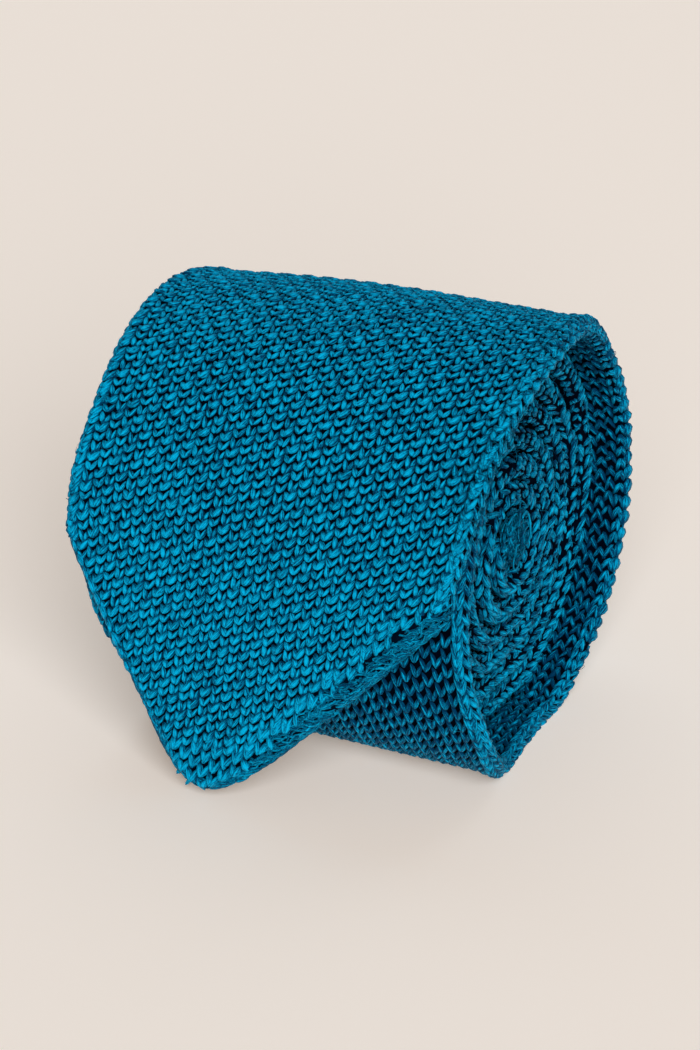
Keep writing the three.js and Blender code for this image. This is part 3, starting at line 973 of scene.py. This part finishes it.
for side, middle in (("right", 0), ("left", half_round)):
    outer = lattice(RIM, [-1, 0, 1], 0.0, stops[-1], RIM_REPEAT, spacing=0.9, loose=1.3)
    if side == "right":
        first, last = length_at(KNOTS_AT[0]), length_at(KNOTS_AT[1])
        knotted = (np.abs(outer[:, 0]) < 0.45) & (outer[:, 1] > first) & (outer[:, 1] < last)
        knots = lattice(KNOTS, [0], first, last, KNOT_REPEAT, loose=1.3)
        outer = np.concatenate([outer[~knotted], knots])
    columns = [-2, -1, 0, 1, 2]
    inner = lattice(RIM, columns, stops[-1], FOLD_ALONG + 20, RIM_REPEAT, RIM_SPACING, loose=2.2)
    # The side columns lie lower, which also paints them darker as shade in the clefts between the turns
    inner[:, 5] -= 0.15 * np.abs(inner[:, 0]) ** 1.5 - rng.normal(0, 0.1, len(inner))
    rims = np.concatenate([outer, inner])
    rims[:, 0] += middle
    stitches.append(knit_piece(f"rim_knit_{side}", rims, crown=0.2, fits=rim_fits, shade=rim_shade))

behind = np.r_[-6:-1, half_round + 2 : half_round + 5]
inner = lattice(INNER, behind, POINT_DEPTH + 8, length_at(340), OPEN_REPEAT, loose=1.6)
# The inner face behind the rims gets painted shade
stitches.append(knit_piece("inner_knit", inner, crown=0.2, shade=lambda along: 0.45))

fibres = np.concatenate([
    # count, range along, range round, range of length, turn, range of height
    fibre_lines(130, (length_at(0), length_at(75)), (-3.0, 3.5), (1.5, 4.0), 3.0, (0.1, 0.6)),
    fibre_lines(60, (length_at(18), length_at(44)), (-4.5, 0.5), (4.0, 8.0), 5.0, (0.2, 0.6)),
    fibre_lines(220, (length_at(385), length_at(1500)), (-4.0, 4.0), (1.5, 4.0), 3.0, (0.1, 0.6)),
    fibre_lines(120, (length_at(1380), length_at(2350)), (-4.0, 4.0), (3.0, 6.0), 5.0, (0.3, 1.2)),
    fibre_lines(260, (4.0, length_at(360)), (0.0, BLADE_WIDTH), (1.0, 3.0), 2.0, (0.1, 0.5)),
])
tangle = eye_tangle(110)
thickness, high = rng.uniform(0.09, 0.17, len(tangle)), rng.uniform(0.2, 0.8, len(tangle))
stitches.append(tubes("eye_tangle", tangle, thickness, crown=high))
stitches.append(tubes("loose_fibres", fibres, rng.uniform(0.025, 0.05, len(fibres)), 3, crown=0.35))

strands = hem_strands()
thickness, high = rng.uniform(0.13, 0.23, len(strands)), rng.uniform(0.3, 0.75, len(strands))
hem = [tubes("hem_strands", strands, thickness, crown=high), hem_bed("hem_bed")]
# The hem's bed is painted dark as shade under its strands
hem[1].data.materials.append(ground_material("shaded_hem", (0.0001, 0.003, 0.010)))
for piece in [*stitches, hem[0]]:
    piece.data.materials.append(YARN)

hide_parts("knit_strip")
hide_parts("point_facing")
for piece in [ground, *stitches, *hem]:
    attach(piece, "root")

# The stage

floor_mesh = bpy.data.meshes.new("floor")
floor_mesh.from_pydata([(-4, -4, 0), (4, -4, 0), (4, 4, 0), (-4, 4, 0)], [], [(0, 1, 2, 3)])
floor = bpy.data.objects.new("floor", floor_mesh)
bpy.context.scene.collection.objects.link(floor)
paper = bpy.data.materials.new("pale_surface")
paper.use_nodes = True
paper_shader = paper.node_tree.nodes["Principled BSDF"]
paper_shader.inputs["Base Color"].default_value = (0.95, 0.885, 0.815, 1)
paper_shader.inputs["Roughness"].default_value = 0.9
paper_shader.inputs["Specular IOR Level"].default_value = 0.1
# The floor glows a little: painted light that keeps it evenly bright, warms and lightens the shadows on
# it and lights the tie a little from below
paper_shader.inputs["Emission Color"].default_value = (1.0, 0.77, 0.60, 1)
paper_shader.inputs["Emission Strength"].default_value = 0.22
floor_mesh.materials.append(paper)

world = bpy.data.worlds.new("studio")
bpy.context.scene.world = world
world.use_nodes = True
world.node_tree.nodes["Background"].inputs["Color"].default_value = (1, 0.88, 0.76, 1)
world.node_tree.nodes["Background"].inputs["Strength"].default_value = 0.12


def far_light(name, azimuth, elevation, strength, softness, colour=(0.97, 1.0, 1.04)):
    """A wide soft light far away; azimuth from the front towards +X, softness its width in degrees."""
    light = bpy.data.lights.new(name, "SUN")
    light.energy = strength
    light.angle = math.radians(softness)
    light.color = colour
    made = bpy.data.objects.new(name, light)
    a, e = math.radians(azimuth), math.radians(elevation)
    towards = Vector((math.sin(a) * math.cos(e), -math.cos(a) * math.cos(e), math.sin(e)))
    made.rotation_euler = (-towards).to_track_quat("-Z", "Y").to_euler()
    bpy.context.scene.collection.objects.link(made)
    return made


far_light("front", azimuth=34, elevation=27, strength=2.96, softness=40)
far_light("back", azimuth=195, elevation=45, strength=0.5, softness=60, colour=(0.8, 0.97, 1.12))

CAMERA_AZIMUTH = 27.44
CAMERA_ELEVATION = 23.50
CAMERA_DISTANCE = 0.5312
CAMERA_LENS = 117.36
CAMERA_AIM = Vector((-0.0078, 0.0078, 0.0242))
camera = bpy.data.cameras.new("camera")
camera.sensor_fit = "VERTICAL"
camera.sensor_height = 36
camera.lens = CAMERA_LENS
camera.clip_start = 0.01
eye = bpy.data.objects.new("camera", camera)
azimuth, elevation = math.radians(CAMERA_AZIMUTH), math.radians(CAMERA_ELEVATION)
towards = Vector((
    math.sin(azimuth) * math.cos(elevation),
    -math.cos(azimuth) * math.cos(elevation),
    math.sin(elevation),
))
eye.location = CAMERA_AIM + towards * CAMERA_DISTANCE
eye.rotation_euler = (-towards).to_track_quat("-Z", "Y").to_euler()
bpy.context.scene.collection.objects.link(eye)
bpy.context.scene.camera = eye
bpy.context.scene.view_settings.view_transform = "Standard"
